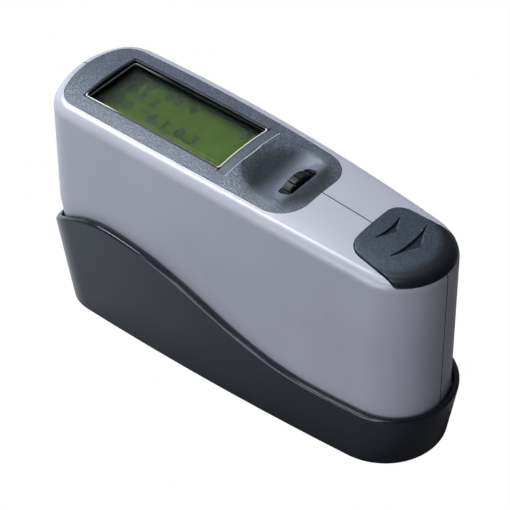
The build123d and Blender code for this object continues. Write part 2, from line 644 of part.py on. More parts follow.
for low_x, high_x in ((-ear_out, -ear_in), (ear_in, ear_out)):
    carrier = carrier + block(
        (wheel_x + low_x, -EAR_HALF_WIDTH, carrier_low), (wheel_x + high_x, EAR_HALF_WIDTH, wheel_z)
    )
    ear_end = Rot(0, 90, 0) * Cylinder(EAR_HALF_WIDTH, CARRIER_SHEET)
    carrier = carrier + Pos(wheel_x + (low_x + high_x) / 2, 0, wheel_z) * ear_end
save(carrier - axle_line * Cylinder(AXLE_RADIUS, 4 * ear_out), "wheel_carrier")
guide_x = ear_out + BODY_GAP
guide_y = CARRIER_HALF_WIDTH + BODY_GAP
bracket = Box(2 * (guide_x + BRACKET_WALL), 2 * (guide_y + BRACKET_WALL), BRACKET_HEIGHT)
bracket = bracket - Box(2 * guide_x, 2 * guide_y, 2 * BRACKET_HEIGHT)
save(Pos(wheel_x, 0, board_high + BRACKET_HEIGHT / 2) * bracket, "wheel_bracket")


def push_switch(x, low, high, travel):
    """A small push switch: a square body and a round plunger."""
    body_high = high - travel
    half = SWITCH_SIZE / 2
    body = block((x - half, -half, low), (x + half, half, body_high))
    return body + cylinder(x, 0, body_high, high, PLUNGER_RADIUS)


plunger_top = carrier_low - CARRIER_TRAVEL - BODY_GAP
save(push_switch(wheel_x, board_high, plunger_top, CARRIER_TRAVEL), "wheel_switch")


# Battery cover: a cap that wraps over the nose, with two hooked feet and the upper contact under it
def arrow(tip_x, tip_y, inner_run, outer_run):
    """An arrowhead recess that points to the nose: two tips, a shallow inner curve and a point."""
    inner = ThreePointArc((tip_x, -tip_y), (tip_x + inner_run, 0), (tip_x, tip_y))
    outer = Polyline((tip_x, tip_y), (tip_x + outer_run, 0), (tip_x, -tip_y))
    return tall(Pos(0, ARROW_SHIFT_Y) * facing_up(make_face([inner, outer])))


cap_blank = case_prism(FIT_GAP) & under_top(-COVER_PROUD)
cap_edges = cap_blank.edges().filter_by(lambda edge: edge.center().Z > TOP_HEIGHT / 2)
cap_blank = fillet(cap_edges, SHOULDER_RADIUS + COVER_PROUD)
cap = tall(cover_plan(0)) & cap_blank & slab(skirt_low, FAR)
hollow = tall(cover_plan(-COVER_SKIN)) & case_prism(WALL + COVER_EDGE_GAP)
hollow = hollow & under_top(COVER_SKIN - COVER_PROUD)
contact_low = skirt_low - BEZEL_GAP / 2
contact_high = contact_low + CONTACT_SHEET
cap = cap - (hollow - cylinder(BATTERY_X, 0, contact_high, FAR, NUB_RADIUS))
foot_end_x = FOOT_START_X + FOOT_LENGTH
for side in (-1, 1):
    inner_y = side * FOOT_INNER_Y
    low_y, high_y = sorted((inner_y, inner_y + side * FOOT_REACH))
    cap = cap + block((FOOT_START_X, low_y, foot_low), (foot_end_x, high_y, foot_low + FOOT_THICKNESS))
    low_y, high_y = sorted((inner_y, inner_y + side * WEB_THICKNESS))
    cap = cap + (block((FOOT_START_X, low_y, foot_low), (foot_end_x, high_y, FAR)) & under_top(0))
for tip_x, tip_y, inner_run, outer_run in ARROW_PLACES:
    cap = cap - (arrow(tip_x, tip_y, inner_run, outer_run) - under_top(ARROW_DEPTH - COVER_PROUD))
save(cap, "battery_cover")
save(cylinder(BATTERY_X, 0, contact_low, contact_high, BATTERY_RADIUS - CONTACT_MARGIN), "cover_contact")
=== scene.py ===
import bmesh
import bpy
from math import cos, radians, sin, tau
from mathutils import Matrix, Vector


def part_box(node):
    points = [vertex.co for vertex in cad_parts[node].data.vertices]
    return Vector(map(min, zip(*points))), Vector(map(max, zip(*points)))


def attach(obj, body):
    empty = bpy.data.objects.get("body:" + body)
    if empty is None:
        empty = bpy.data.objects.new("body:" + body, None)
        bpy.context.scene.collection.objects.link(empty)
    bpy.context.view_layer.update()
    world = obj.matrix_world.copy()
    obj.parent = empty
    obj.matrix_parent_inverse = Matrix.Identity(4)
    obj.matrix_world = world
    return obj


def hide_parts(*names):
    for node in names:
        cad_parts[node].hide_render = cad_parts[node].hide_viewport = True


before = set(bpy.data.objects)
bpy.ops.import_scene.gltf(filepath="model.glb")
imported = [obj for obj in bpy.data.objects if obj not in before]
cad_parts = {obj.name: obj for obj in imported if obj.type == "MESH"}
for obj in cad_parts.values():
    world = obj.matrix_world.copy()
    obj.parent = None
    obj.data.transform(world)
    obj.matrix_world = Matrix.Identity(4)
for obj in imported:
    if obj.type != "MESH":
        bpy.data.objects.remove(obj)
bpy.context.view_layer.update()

MM = 0.001

# Camera: stands in front of the battery cover's end, to the right of the meter, and looks down on it.
# A long lens keeps the edges nearly parallel.
EYE = Vector((0.36572, -0.43632, 0.56554))
LOOK = Vector((-0.472632132, 0.563284679, -0.677738326))
UP = Vector((-0.431625477, 0.522535573, 0.735293154))
FOCAL_PIXELS = 2306.37
FRAME_PIXELS = 510
SENSOR_MM = 36.0
camera_data = bpy.data.cameras.new("camera")
camera_data.sensor_width = SENSOR_MM
camera_data.lens = FOCAL_PIXELS / FRAME_PIXELS * SENSOR_MM
camera = bpy.data.objects.new("camera", camera_data)
camera.matrix_world = (
    Matrix.Translation(EYE) @ Matrix((LOOK.cross(UP), UP, -LOOK)).transposed().to_4x4()
)
bpy.context.scene.collection.objects.link(camera)
bpy.context.scene.camera = camera
bpy.context.scene.view_settings.view_transform = "Standard"

# Meter case: two shells moulded in silver grey plastic, with a fine satin texture from the mould.
# They meet in a hairline seam along the middle, and the base plate is screwed to both from below.
SILVER = (0.378, 0.395, 0.478, 1.0)
SILVER_DULL = (0.352, 0.368, 0.446, 1.0)
SEAM_SHADE = (0.03, 0.032, 0.038, 1.0)
SEAM_HALF = 0.13 * MM
SEAM_EASE = 0.12 * MM
SATIN_DEPTH = 0.006 * MM


class Value:
    """A socket in a material's node tree. An operator on it adds a Math node."""

    def __init__(self, tree, socket):
        self.tree = tree
        self.socket = socket

    def math(self, operation, *others):
        inputs = dict(enumerate((self,) + others))
        return self.tree.node("ShaderNodeMath", {"operation": operation}, inputs)

    def __add__(self, other):
        return self.math("ADD", other)

    def __radd__(self, other):
        return self.math("ADD", other)

    def __mul__(self, other):
        return self.math("MULTIPLY", other)

    def __rmul__(self, other):
        return self.math("MULTIPLY", other)

    def __sub__(self, other):
        return self.math("SUBTRACT", other)

    def __rsub__(self, other):
        return (self * -1.0) + other

    def __truediv__(self, other):
        return self.math("DIVIDE", other)

    def __pow__(self, other):
        return self.math("POWER", other)

    def smooth(self, low, high):
        """0 below low, 1 above high, eased between."""
        return self.tree.node("ShaderNodeMapRange", {"interpolation_type": "SMOOTHSTEP"}, {
            "Value": self, "From Min": low, "From Max": high
        })

    def within(self, low, high, ease):
        """1 between low and high, 0 outside, eased over a distance."""
        return self.smooth(low - ease, low) * (1.0 - self.smooth(high, high + ease))


class Finish:
    """A material under construction, or with owner the shading of a world."""

    def __init__(self, name, owner=None):
        self.material = owner or bpy.data.materials.new(name)
        self.material.use_nodes = True
        self.nodes = self.material.node_tree.nodes
        self.links = self.material.node_tree.links
        self.shader = self.nodes["Background" if owner else "Principled BSDF"]

    def node(self, kind, settings, inputs, output=0):
        """A node with its settings made first, then its sockets. The result is one of its outputs."""
        made = self.nodes.new(kind)
        for key, setting in settings.items():
            setattr(made, key, setting)
        for key, value in inputs.items():
            self.feed(made.inputs[key], value)
        return Value(self, made.outputs[output])

    def feed(self, socket, value):
        """Link a value to a socket, or set it there."""
        if isinstance(value, Value):
            self.links.new(value.socket, socket)
        else:
            socket.default_value = value

    def place(self, kind="Object"):
        """The point on the object."""
        return self.node("ShaderNodeTexCoord", {}, {}, kind)

    def parts(self, kind="Object"):
        """The x, y and z of the point on the object."""
        split = self.node("ShaderNodeSeparateXYZ", {}, {"Vector": self.place(kind)})
        return [Value(self, output) for output in split.socket.node.outputs]

    def ray(self, kind):
        """1 for light paths of a kind."""
        return self.node("ShaderNodeLightPath", {}, {}, kind)

    def noise(self, scale, detail=2.0, stretch=(1.0, 1.0, 1.0)):
        """Soft noise over the object, with features about 1 / scale metres wide."""
        where = self.node("ShaderNodeMapping", {}, {"Vector": self.place(), "Scale": stretch})
        return self.node("ShaderNodeTexNoise", {}, {"Vector": where, "Scale": scale, "Detail": detail}, "Fac")

    def pits(self, scale):
        """Fine cells over the object, as the distance from each one's middle."""
        return self.node("ShaderNodeTexVoronoi", {}, {"Vector": self.place(), "Scale": scale}, "Distance")

    def blend(self, factor, first, second):
        """A mix of two colours."""
        return self.node("ShaderNodeMix", {"data_type": "RGBA"}, {0: factor, 6: first, 7: second}, 2)

    def bump(self, height, distance, strength=1.0):
        """A Normal from a height."""
        return self.node("ShaderNodeBump", {}, {"Height": height, "Distance": distance, "Strength": strength})

    def set(self, **sockets):
        """Feed the shader's sockets by name, with _ for a space."""
        for key, value in sockets.items():
            self.feed(self.shader.inputs[key.replace("_", " ")], value)


def dress(finish, *nodes):
    """Give pieces of the frame their finish."""
    for node in nodes:
        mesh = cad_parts[node].data
        mesh.materials.clear()
        mesh.materials.append(finish.material)


case_finish = Finish("case_plastic")
across = case_finish.parts()[1]
cloud = case_finish.noise(26.0, 3.0)
satin = case_finish.noise(2600.0, 2.0)
silver = case_finish.blend(cloud.smooth(0.3, 0.7), SILVER_DULL, SILVER)
at_seam = across.within(-SEAM_HALF, SEAM_HALF, SEAM_EASE)
case_finish.set(
    Base_Color=case_finish.blend(at_seam, silver, SEAM_SHADE),
    Roughness=cloud * 0.05 + satin * 0.04 + 0.24,
    Normal=case_finish.bump(satin, SATIN_DEPTH, 0.5),
)
dress(case_finish, "left_housing", "right_housing")

# Holder: a cradle moulded in near black plastic, smooth on its walls and glossy on its rounded rim.
# The rim dips at the rear end, rises to a crest a fifth of the way along and sweeps down to the nose.
# A flat cover of the same plastic closes it from below.
HOLDER_BLACK = (0.0055, 0.0075, 0.012, 1.0)
HOLDER_SHEEN = (0.008, 0.0105, 0.0165, 1.0)
COOL_GLOSS = (0.72, 0.86, 1.0, 1.0)
HOLDER_GRAIN = 0.01 * MM
RIM_CREST = 42.2 * MM
RIM_FALL = 22.0 * MM
WAVE_START_X = -48.0 * MM
WAVE_END_X = 47.0 * MM
RIM_BAND = 2.5 * MM
WALL_FOOT = 14.0 * MM
RIM_RAISE = 1.8 * MM
REAR_DIP = 18.0 * MM
DIP_START_X = -44.0 * MM
DIP_END_X = -80.0 * MM
DIP_LEAN = radians(6.0)
WELD = 0.001 * MM
FLAT_ANGLE = radians(0.05)
SMOOTH_ANGLE = radians(32)
holder_finish = Finish("holder_plastic")
holder_cloud = holder_finish.noise(34.0, 3.0)
holder_finish.set(
    Base_Color=holder_finish.blend(holder_cloud, HOLDER_BLACK, HOLDER_SHEEN),
    Roughness=holder_cloud * 0.07 + 0.16,
    Specular_Tint=COOL_GLOSS,
    Coat_Weight=holder_cloud * 0.1 + 0.25,
    Coat_Roughness=0.05,
    Normal=holder_finish.bump(holder_finish.noise(1900.0, 2.0), HOLDER_GRAIN, 0.3),
)
dress(holder_finish, "holder_cover")


def merged(node):
    """A copy of a CAD piece as a work mesh, with its doubled corners merged and its flat faces joined."""
    work = bmesh.new()
    work.from_mesh(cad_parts[node].data)
    bmesh.ops.remove_doubles(work, verts=work.verts, dist=WELD)
    bmesh.ops.dissolve_limit(work, angle_limit=FLAT_ANGLE, verts=work.verts, edges=work.edges)
    return work


def piece(name, work, finishes, body):
    """A finished piece from a work mesh: smooth but for its corners, riding on a body."""
    mesh = bpy.data.meshes.new(name)
    work.to_mesh(mesh)
    work.free()
    mesh.shade_smooth()
    mesh.set_sharp_from_angle(angle=SMOOTH_ANGLE)
    for finish in finishes:
        mesh.materials.append(finish.material)
    made = bpy.data.objects.new(name, mesh)
    bpy.context.scene.collection.objects.link(made)
    weight = made.modifiers.new("weight", "WEIGHTED_NORMAL")
    weight.keep_sharp = True
    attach(made, body)
    return made


def share(value, low, high):
    """How far a value is on its way from low to high, 0 to 1."""
    return min(1.0, max(0.0, (value - low) / (high - low)))


def reshaped(point):
    """A point of the cradle's walls, moved with the wave of the rim."""
    run = share(point.x, WAVE_START_X, WAVE_END_X)
    plain_rim = RIM_CREST - RIM_FALL * run * run * (3.0 - 2.0 * run)
    part = share(point.z, WALL_FOOT, plain_rim - RIM_BAND)
    dip = share(point.x, DIP_START_X, DIP_END_X)
    lift = part * (RIM_RAISE - REAR_DIP * dip * dip)
    return point + Vector((-lift * sin(DIP_LEAN) * dip, 0.0, lift))


holder_work = merged("calibration_holder")
for corner in holder_work.verts:
    corner.co = reshaped(corner.co)
holder_work.normal_update()
holder_shell = piece("holder_shell", holder_work, [holder_finish], "holder")
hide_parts("calibration_holder")

# Calibration tile: a plate of black glass under a ledge of the holder's floor.
# It is polished like a mirror, because the meter sets itself by it.
TILE_BLACK = (0.004, 0.004, 0.005, 1.0)
tile_finish = Finish("tile_glass")
tile_finish.set(Base_Color=TILE_BLACK, Roughness=tile_finish.noise(40.0) * 0.02 + 0.03)
dress(tile_finish, "calibration_tile")

# Tile pad: a sheet of soft black foam with fine open cells.
# The cover under the holder squeezes it, and it presses the tile up to its ledge.
FOAM_BLACK = (0.01, 0.01, 0.01, 1.0)
FOAM_GREY = (0.05, 0.05, 0.05, 1.0)
CELL_DEPTH = 0.3 * MM
foam_finish = Finish("foam")
cells = foam_finish.pits(1400.0)
foam_finish.set(
    Base_Color=foam_finish.blend(cells, FOAM_BLACK, FOAM_GREY),
    Roughness=0.95,
    Normal=foam_finish.bump(cells, CELL_DEPTH),
)
dress(foam_finish, "tile_pad")

# Bezel: a dark moulded sheet with a spark-eroded texture, smooth in the thumb dish and on the strip
# in front of the display. Its edges are rounded, most of all round the display opening, and it is let
# into the case with a parting line round it, darkened with painted shade. Painted shade darkens the rear of
# the dish and the walls of the opening, painted light brightens the front of the dish, and a painted
# highlight runs along the step at the front of the strip.
BEZEL_DARK = (0.032, 0.040, 0.057, 1.0)
BEZEL_LIGHT = (0.135, 0.157, 0.215, 1.0)
# Painted shade and painted light for the thumb dish.
DISH_PAINTED_SHADE = (0.005, 0.007, 0.011, 1.0)
DISH_PAINTED_LIGHT = (0.11, 0.125, 0.165, 1.0)
# Painted shade, near black, for the walls of the display opening and the parting lines.
PAINTED_SHADE_BLACK = (0.004, 0.005, 0.006, 1.0)
# Painted highlight along the step at the front of the strip.
STEP_PAINTED_HIGHLIGHT = (0.38, 0.41, 0.48, 1.0)
# Painted shade for the parting lines.
PARTING_PAINTED_SHADE = (0.01, 0.011, 0.013, 1.0)
BLUE_GLOSS = (0.78, 0.88, 1.0, 1.0)
DISH_X = 14.5 * MM
DISH_SPREAD = 17.5 * MM
SPARK_DEPTH = 0.16 * MM
LENS_MARGIN = 1.2 * MM
OPENING_ROUND = 0.4 * MM
OPENING_EASE = 0.04 * MM
WALL_SHADE = 0.07 * MM
WALL_EASE = 0.03 * MM
STRIP_WIDTH = 3.6 * MM
STEP_HALF_LENGTH = 13.9 * MM
STEP_EASE = 0.1 * MM
PARTING_ROUND = 0.3 * MM
RIM_OVER_WINDOW = 1.0 * MM
DISH_LIT_X = (7.0 * MM, 15.5 * MM)
DISH_FADE_X = (17.5 * MM, 22.0 * MM)
CORNER_ANGLE = radians(28)
EDGE_SLACK = 0.3 * MM
window_low, window_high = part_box("display_window")
opening_low = window_low + Vector((LENS_MARGIN, LENS_MARGIN, 0.0))
opening_high = window_high - Vector((LENS_MARGIN, LENS_MARGIN, 0.0))
step_x = opening_high.x + STRIP_WIDTH
rim_z = window_high.z + RIM_OVER_WINDOW


def from_middle(x, y, middle_x):
    """Distance in plan from a point on the meter's middle line."""
    return ((x - middle_x) ** 2 + y ** 2) ** 0.5


def over_opening(x, y, margin, ease):
    """A mask of the display opening, widened by a margin."""
    beside_x = x.within(opening_low.x - margin, opening_high.x + margin, ease)
    return beside_x * y.within(opening_low.y - margin, opening_high.y + margin, ease)


bezel_finish = Finish("bezel_plastic")
along, across = bezel_finish.parts()[:2]
texture = bezel_finish.noise(2300.0, 3.0) * 0.6 + bezel_finish.pits(1700.0) * 0.5
outside_dish = from_middle(along, across, DISH_X).smooth(0.6 * DISH_SPREAD, 1.1 * DISH_SPREAD)
on_strip = along.within(opening_high.x, step_x, STEP_EASE)
at_rim = over_opening(along, across, OPENING_ROUND, OPENING_EASE)
# Painted black shade on the walls of the display opening.
at_wall = over_opening(along, across, WALL_SHADE, WALL_EASE)
# Painted highlight along the step's front edge.
step_painted_glint = along.within(step_x - STEP_EASE, step_x + 1.5 * STEP_EASE, STEP_EASE)
step_painted_glint = step_painted_glint * across.within(-STEP_HALF_LENGTH, STEP_HALF_LENGTH, STEP_EASE)
rough = outside_dish * (on_strip * -0.8 + 1.0) * (1.0 - at_rim)
light = texture.smooth(0.35, 0.8) * (rough * 0.8 + 0.1) + on_strip * 0.25
# Painted light towards the front of the thumb dish, painted shade at its rear.
painted_dish_light = along.smooth(*DISH_LIT_X) * (1.0 - along.smooth(*DISH_FADE_X))
shade = bezel_finish.blend(painted_dish_light, DISH_PAINTED_SHADE, DISH_PAINTED_LIGHT)
shade = bezel_finish.blend(outside_dish, shade, BEZEL_DARK)
grey = bezel_finish.blend(at_wall, bezel_finish.blend(light, shade, BEZEL_LIGHT), PAINTED_SHADE_BLACK)
dish_matt = (1.0 - painted_dish_light) * (1.0 - outside_dish) * 0.3
bezel_finish.set(
    Base_Color=bezel_finish.blend(step_painted_glint, grey, STEP_PAINTED_HIGHLIGHT),
    Roughness=(1.0 - at_rim) * (rough * -0.14 + 0.38) + texture * 0.08 + dish_matt + 0.07,
    Specular_Tint=BLUE_GLOSS,
    Normal=bezel_finish.bump(texture * (rough * 0.97 + 0.03), SPARK_DEPTH),
)
# Painted shade for the parting lines round the bezel and on the arrows' shaded edges.
parting_finish = Finish("parting_shade")
parting_finish.set(
    Base_Color=parting_finish.blend(parting_finish.noise(800.0), PAINTED_SHADE_BLACK, PARTING_PAINTED_SHADE),
    Roughness=0.6,
    Specular_IOR_Level=0.1,
)


def middle(edge):
    """The middle of an edge."""
    return (edge.verts[0].co + edge.verts[1].co) / 2


def soften(work, width, steps, belongs, clamp=True):
    """Round the sharp edges of a work mesh that belong, by a width. The new faces are returned."""
    sharp = [
        edge for edge in work.edges
        if len(edge.link_faces) == 2 and edge.calc_face_angle() > CORNER_ANGLE and belongs(edge)
    ]
    made = bmesh.ops.bevel(
        work, geom=sharp, offset=width, offset_type="OFFSET", segments=steps, profile=0.5,
        affect="EDGES", clamp_overlap=clamp, material=-1,
    )
    work.normal_update()
    return made["faces"]


def at_opening(edge):
    """True for the upper edges of the display opening."""
    spot = middle(edge)
    beside_x = opening_low.x - EDGE_SLACK < spot.x < opening_high.x + EDGE_SLACK
    beside_y = opening_low.y - EDGE_SLACK < spot.y < opening_high.y + EDGE_SLACK
    return beside_x and beside_y and spot.z > rim_z


def at_outline(edge):
    """True for the other upper edges of the bezel."""
    return not at_opening(edge) and edge.verts[0].co.z > rim_z


bezel_work = merged("bezel")
soften(bezel_work, OPENING_ROUND, 4, at_opening)
# The rounded outer edges get painted shade for the parting line.
for face in soften(bezel_work, PARTING_ROUND, 2, at_outline):
    face.material_index = 1
bezel = piece("bezel_skin", bezel_work, [bezel_finish, parting_finish], "meter")
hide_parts("bezel")

# Battery cover: a dark moulded cap with a fine texture and two sunk arrows, with painted shade on their
# floors, a painted highlight on one edge and painted shade on the other. Painted shade darkens the skirt and
# the nose where the top turns down. Hooked feet hold it in rails, and it slides off over the nose.
COVER_DARK = (0.022, 0.028, 0.038, 1.0)
COVER_LIGHT = (0.055, 0.07, 0.095, 1.0)
# Painted shade on the floors of the sunk arrows.
ARROW_PAINTED_SHADE = (0.012, 0.016, 0.022, 1.0)
# Painted shade on the skirt and the turned-down nose.
SKIRT_PAINTED_SHADE = (0.005, 0.0065, 0.009, 1.0)
# Painted highlight on the arrows' edges that face the rear.
EDGE_HIGHLIGHT_GREY = (0.09, 0.105, 0.13, 1.0)
EDGE_HIGHLIGHT_PALE = (0.17, 0.19, 0.22, 1.0)
COVER_GRAIN = 0.035 * MM
COVER_CREST = 86.9 * MM
COVER_RIM_DROP = 5.0 * MM
COVER_ROUND = 0.3 * MM
ARROW_ROUND = 0.16 * MM
ARROWS_LOW_X = 51.5 * MM
ARROWS_HIGH_X = 66.5 * MM
ARROWS_LOW_Y = -9.5 * MM
ARROWS_HIGH_Y = 12.5 * MM
ARROW_EASE = 0.2 * MM
ARROW_DEPTHS = (0.3 * MM, 0.7 * MM)
SKIRT_DEPTHS = (0.8 * MM, 2.2 * MM)
NOSE_TURN_X = 56.0 * MM
NOSE_TURN_RADII = (13.0 * MM, 17.0 * MM)
NOSE_FRONT_X = (57.0 * MM, 62.0 * MM)
ARCH_TOP_X = -38.0 * MM
ARCH_RADIUS = 992.0 * MM
CROWN_RADIUS = 89.0 * MM
cover_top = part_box("battery_cover")[1].z


def fall(x, y):
    """How far the arched and crowned top lies below its crest."""
    return (x - ARCH_TOP_X) ** 2 / (2 * ARCH_RADIUS) + y ** 2 / (2 * CROWN_RADIUS)


cover_finish = Finish("cover_plastic")
along, across, height = cover_finish.parts()
depth = COVER_CREST - (height + fall(along, across))
arrow_zone = along.within(ARROWS_LOW_X, ARROWS_HIGH_X, ARROW_EASE)
arrow_zone = arrow_zone * across.within(ARROWS_LOW_Y, ARROWS_HIGH_Y, ARROW_EASE)
# Painted shade on the arrows' floors, by depth.
sunk = depth.smooth(*ARROW_DEPTHS) * arrow_zone
cover_speckle = cover_finish.noise(1900.0, 3.0)
plain = cover_finish.blend(cover_speckle.smooth(0.3, 0.75), COVER_DARK, COVER_LIGHT)
# Painted shade where the nose turns down and on the skirt below the top.
nose_turn_painted_shade = from_middle(along, across, NOSE_TURN_X).smooth(*NOSE_TURN_RADII) * along.smooth(*NOSE_FRONT_X)
painted_skirt_shade = nose_turn_painted_shade.math("MAXIMUM", depth.smooth(*SKIRT_DEPTHS))
cover_finish.set(
    Base_Color=cover_finish.blend(sunk, cover_finish.blend(painted_skirt_shade, plain, SKIRT_PAINTED_SHADE), ARROW_PAINTED_SHADE),
    Roughness=cover_speckle * 0.1 + 0.27,
    Specular_Tint=BLUE_GLOSS,
    Normal=cover_finish.bump(cover_speckle, COVER_GRAIN, 0.6),
)
# Painted highlight for the arrows' rear-facing edges.
edge_highlight_finish = Finish("cover_edge_highlight")
edge_highlight_finish.set(
    Base_Color=edge_highlight_finish.blend(edge_highlight_finish.noise(700.0), EDGE_HIGHLIGHT_GREY, EDGE_HIGHLIGHT_PALE),
    Roughness=0.25,
)


def at_arrow(edge):
    """True for the upper edges of the two arrows."""
    spot = middle(edge)
    in_zone = ARROWS_LOW_X < spot.x < ARROWS_HIGH_X and ARROWS_LOW_Y < spot.y < ARROWS_HIGH_Y
    return in_zone and abs(spot.z + fall(spot.x, spot.y) - COVER_CREST) < EDGE_SLACK


def at_cover_outline(edge):
    """True for the other upper edges of the cover."""
    return not at_arrow(edge) and edge.verts[0].co.z > cover_top - COVER_RIM_DROP


cover_work = merged("battery_cover")
soften(cover_work, COVER_ROUND, 3, at_cover_outline)
# Arrow edges facing the rear get the painted highlight, the others painted shade.
for face in soften(cover_work, ARROW_ROUND, 1, at_arrow, clamp=False):
    face.material_index = 1 if face.normal.x < 0.0 else 2
cover = piece(
    "battery_cover_skin", cover_work, [cover_finish, edge_highlight_finish, parting_finish],
    "battery_cover",
)
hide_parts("battery_cover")

# Display: green liquid crystal glass in a deep frame. Its rear and far edges fade to dark, partly the panel's
# black mask and partly painted shade from the frame.
# Two faint lines of the panel's own show near its near edge.
LCD_GREEN = (0.074, 0.146, 0.02, 1.0)
LCD_PALE = (0.2, 0.33, 0.1, 1.0)
LCD_SHADE = (0.006, 0.012, 0.01, 1.0)
REAR_SHADE_END = 4.5 * MM
REAR_LIT_START = 16.0 * MM
FAR_SHADE_END = 2.5 * MM
FAR_LIT_START = 8.5 * MM
PANEL_LINES_Y = ((-8.4 * MM, -8.0 * MM), (-9.6 * MM, -9.1 * MM))
LINE_EASE = 0.2 * MM
LINES_FADE_X = (-48.0 * MM, -38.0 * MM)
lcd_low, lcd_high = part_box("lcd_panel")
lcd_finish = Finish("lcd_glass")
along, across = lcd_finish.parts()[:2]
# Painted shade, partly the panel's black mask, towards the rear and far edges.
lit = along.smooth(lcd_low.x + REAR_SHADE_END, lcd_low.x + REAR_LIT_START)
lit = lit * (1.0 - across.smooth(lcd_high.y - FAR_LIT_START, lcd_high.y - FAR_SHADE_END))
lines = sum(across.within(low, high, LINE_EASE) for low, high in PANEL_LINES_Y)
pixels = lcd_finish.noise(900.0, 1.0)
green = lcd_finish.blend(lines * along.smooth(*LINES_FADE_X) * 0.45, LCD_GREEN, LCD_PALE)
lcd_finish.set(
    Base_Color=lcd_finish.blend(lit * (pixels * 0.1 + 0.92), LCD_SHADE, green),
    Roughness=pixels * 0.05 + 0.22,
)
dress(lcd_finish, "lcd_panel")

# Display window: a clear polished sheet of plastic, faintly green.
# It is seated from below in the frame round the bezel's opening.
WINDOW_TINT = (0.93, 0.97, 0.93, 1.0)
window_finish = Finish("window_glass")
window_finish.set(
    Base_Color=WINDOW_TINT,
    Roughness=window_finish.noise(50.0) * 0.03 + 0.03,
    Transmission_Weight=1.0,
    IOR=1.3,
)
dress(window_finish, "display_window")

# Figures on the display: dark segments of the liquid crystal, just above the panel.
# They stand in four short rows of plain numbers.
INK_DARK = (0.004, 0.02, 0.027, 1.0)
INK_PALE = (0.012, 0.042, 0.042, 1.0)
FIGURE_SIZE = 6.4 * MM
FIGURE_SPACING = 1.22
STROKE_SPREAD = 0.17 * MM
STROKE_DEPTH = 0.015 * MM
FIGURE_LIFT = 0.05 * MM
FIGURE_MIDDLE = 0.36
FIGURE_ROWS = (
    (-57.2 * MM, 7.7 * MM, "20  85.4"),
    (-56.5 * MM, 1.9 * MM, "93.2"),
    (-56.6 * MM, -4.7 * MM, "60 94.1 0.3"),
    (-12.4 * MM, 7.9 * MM, "8"),
)
ink_finish = Finish("lcd_ink")
ink_finish.set(Base_Color=ink_finish.blend(ink_finish.noise(1200.0), INK_DARK, INK_PALE), Roughness=0.3)


def as_mesh(text):
    """The mesh of a text."""
    drawn = bpy.data.objects.new(text.name, text)
    bpy.context.scene.collection.objects.link(drawn)
    mesh = bpy.data.meshes.new_from_object(drawn.evaluated_get(bpy.context.evaluated_depsgraph_get()))
    bpy.data.objects.remove(drawn)
    return mesh


for row, (start_x, middle_y, figures) in enumerate(FIGURE_ROWS):
    text = bpy.data.curves.new("figures", "FONT")
    text.body = figures
    text.size = FIGURE_SIZE
    text.space_character = FIGURE_SPACING
    text.offset = STROKE_SPREAD
    text.extrude = STROKE_DEPTH
    strokes = as_mesh(text)
    strokes.name = f"figures_{row}"
    foot_y = middle_y - FIGURE_MIDDLE * FIGURE_SIZE
    strokes.transform(Matrix.Translation((start_x, foot_y, lcd_high.z + FIGURE_LIFT)))
    strokes.materials.clear()
    strokes.materials.append(ink_finish.material)
    line = bpy.data.objects.new(f"figures_{row}", strokes)
    bpy.context.scene.collection.objects.link(line)
    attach(line, "meter")

# Window lips: two fine beads of clear plastic, moulded round, that frame the window. One runs round the
# foot of the opening, the other inside its upper edge, where it follows the arch and the crown of the
# top. Their colour is a painted highlight along the front and at the rear, and dark elsewhere.
LIP_DARK = (0.008, 0.01, 0.012, 1.0)
# Dark plastic of the beads, and painted highlights on them.
LIP_PAINTED_GLINT = (0.62, 0.64, 0.62, 1.0)
FOOT_DARK = (0.035, 0.045, 0.04, 1.0)
FOOT_PAINTED_GLINT = (0.6, 0.63, 0.62, 1.0)
TOP_CREST = 86.2 * MM
OPENING_CORNER = 1.2 * MM
BEAD_STEP = 1.5 * MM
FOOT_INSET = 0.1 * MM
FOOT_RADIUS = 0.22 * MM
LIP_INSET = 0.3 * MM
LIP_RADIUS = 0.31 * MM
LIP_DROP = 0.3 * MM
CORNER_STEP = 15
BEAD_SIDES = 12
FOOT_REAR_X = (-60.0 * MM, -45.0 * MM)
LIP_REAR_X = (-54.0 * MM, -47.0 * MM)
LIP_NEAR_Y = (-11.8 * MM, -11.0 * MM)
LIP_FRONT_START = 1.2 * MM
LIP_FRONT_END = 0.7 * MM


def opening_line(inset):
    """Points round the display opening in plan, moved in by inset."""
    radius = OPENING_CORNER - inset
    corners = []
    for side_x, side_y, start in ((1, -1, -90), (1, 1, 0), (-1, 1, 90), (-1, -1, 180)):
        x = (opening_high.x if side_x > 0 else opening_low.x) - side_x * OPENING_CORNER
        y = (opening_high.y if side_y > 0 else opening_low.y) - side_y * OPENING_CORNER
        for turn in range(start, start + 91, CORNER_STEP):
            corners.append(Vector((x + radius * cos(radians(turn)), y + radius * sin(radians(turn)), 0.0)))
    points = []
    for point, following in zip(corners, corners[1:] + corners[:1]):
        steps = max(1, int((following - point).length / BEAD_STEP))
        points += [point.lerp(following, i / steps) for i in range(steps)]
    return points


def bead(line, radius):
    """A round bead swept along a closed line, as a work mesh."""
    work = bmesh.new()
    rings = []
    up = Vector((0.0, 0.0, 1.0))
    turns = [tau * side / BEAD_SIDES for side in range(BEAD_SIDES)]
    for before, point, after in zip(line[-1:] + line[:-1], line, line[1:] + line[:1]):
        out = (after - before).cross(up).normalized()
        rings.append([work.verts.new(point + radius * (out * cos(turn) + up * sin(turn))) for turn in turns])
    for ring, following in zip(rings, rings[1:] + rings[:1]):
        for i in range(BEAD_SIDES):
            j = (i + 1) % BEAD_SIDES
            work.faces.new((ring[i], ring[j], following[j], following[i]))
    bmesh.ops.recalc_face_normals(work, faces=work.faces)
    return work


foot_finish = Finish("window_foot")
